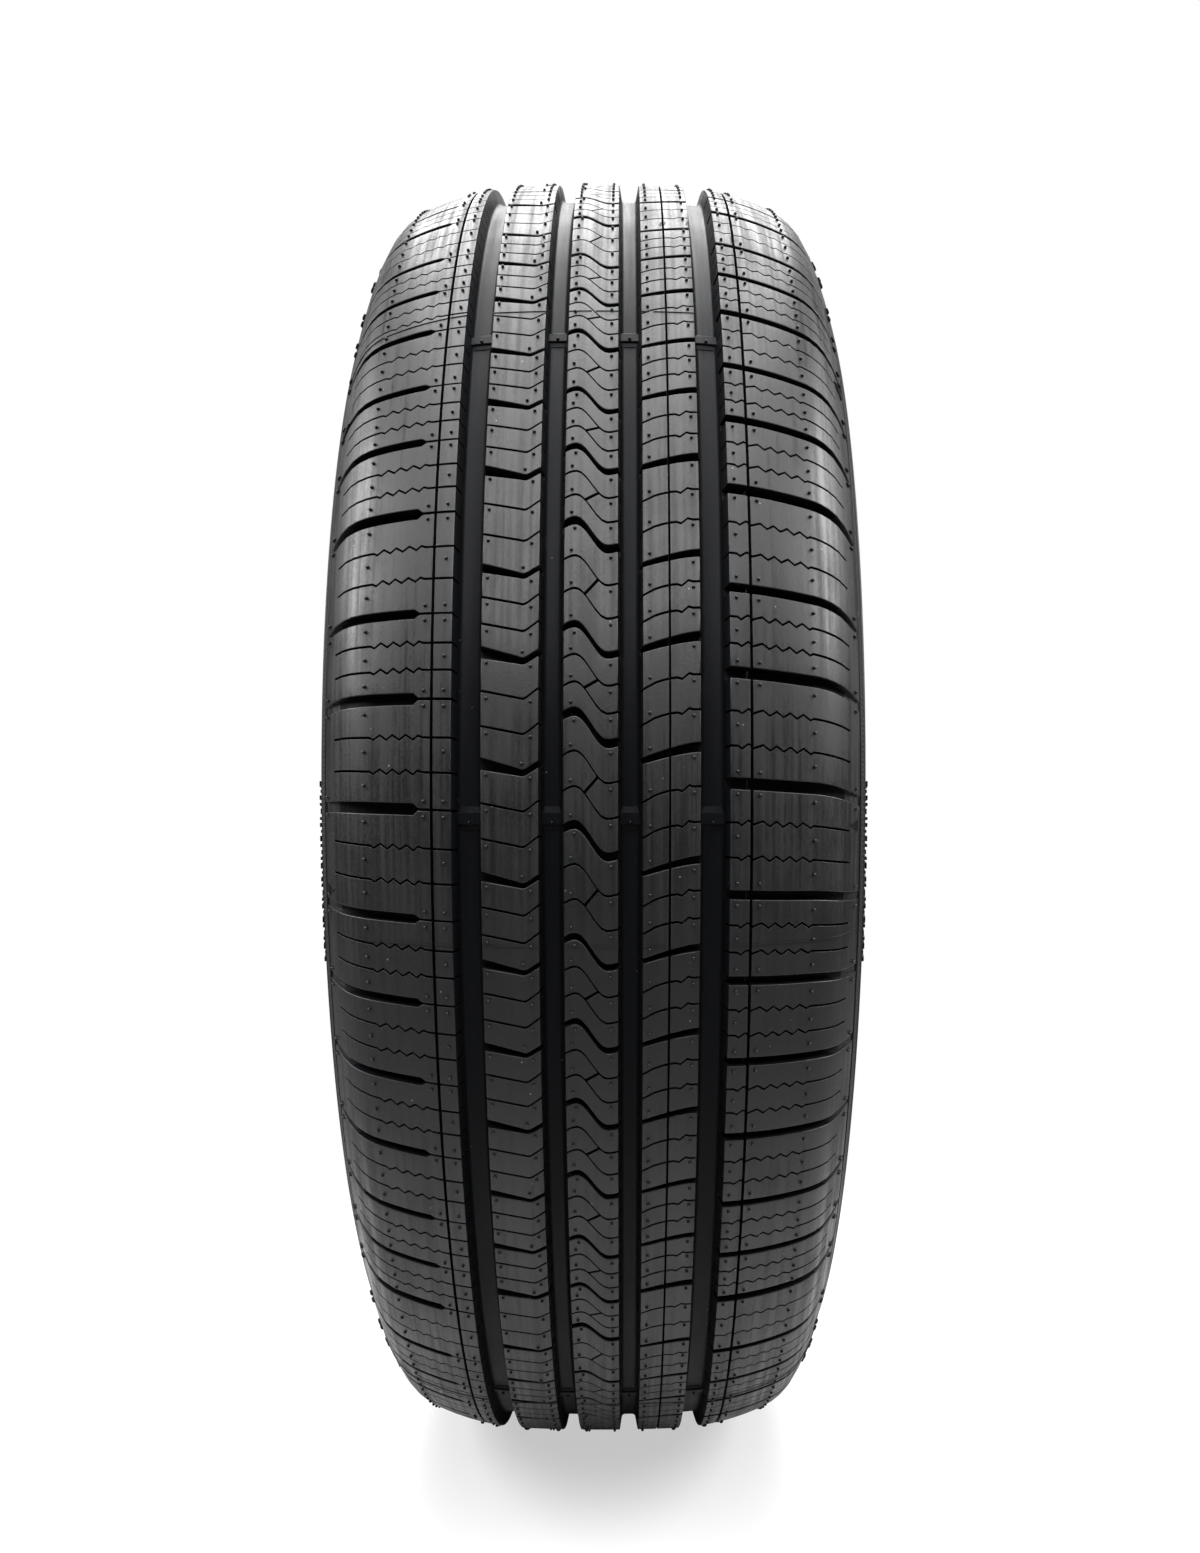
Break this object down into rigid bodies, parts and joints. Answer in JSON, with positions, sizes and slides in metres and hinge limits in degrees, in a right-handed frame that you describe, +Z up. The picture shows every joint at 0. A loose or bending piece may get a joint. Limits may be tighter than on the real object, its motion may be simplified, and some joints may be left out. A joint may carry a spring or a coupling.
{
  "type": "car tyre",
  "caption": "Tubeless car tyre with a grooved all-season tread, rounded shoulders, plain sidewalls and two bead seats for a wheel rim.",
  "frame": {"origin": "centre of the tyre, on the axle line in the middle plane of the tread", "axes": "+Y along the axle, +Z up, +X towards the side of the tread that the picture faces"},
  "size_m": [0.702, 0.227, 0.702],
  "materials": {
    "tyre": "satin"
  },
  "bodies": {
    "root": {"tyre": "tyre"}
  },
  "joints": []
}
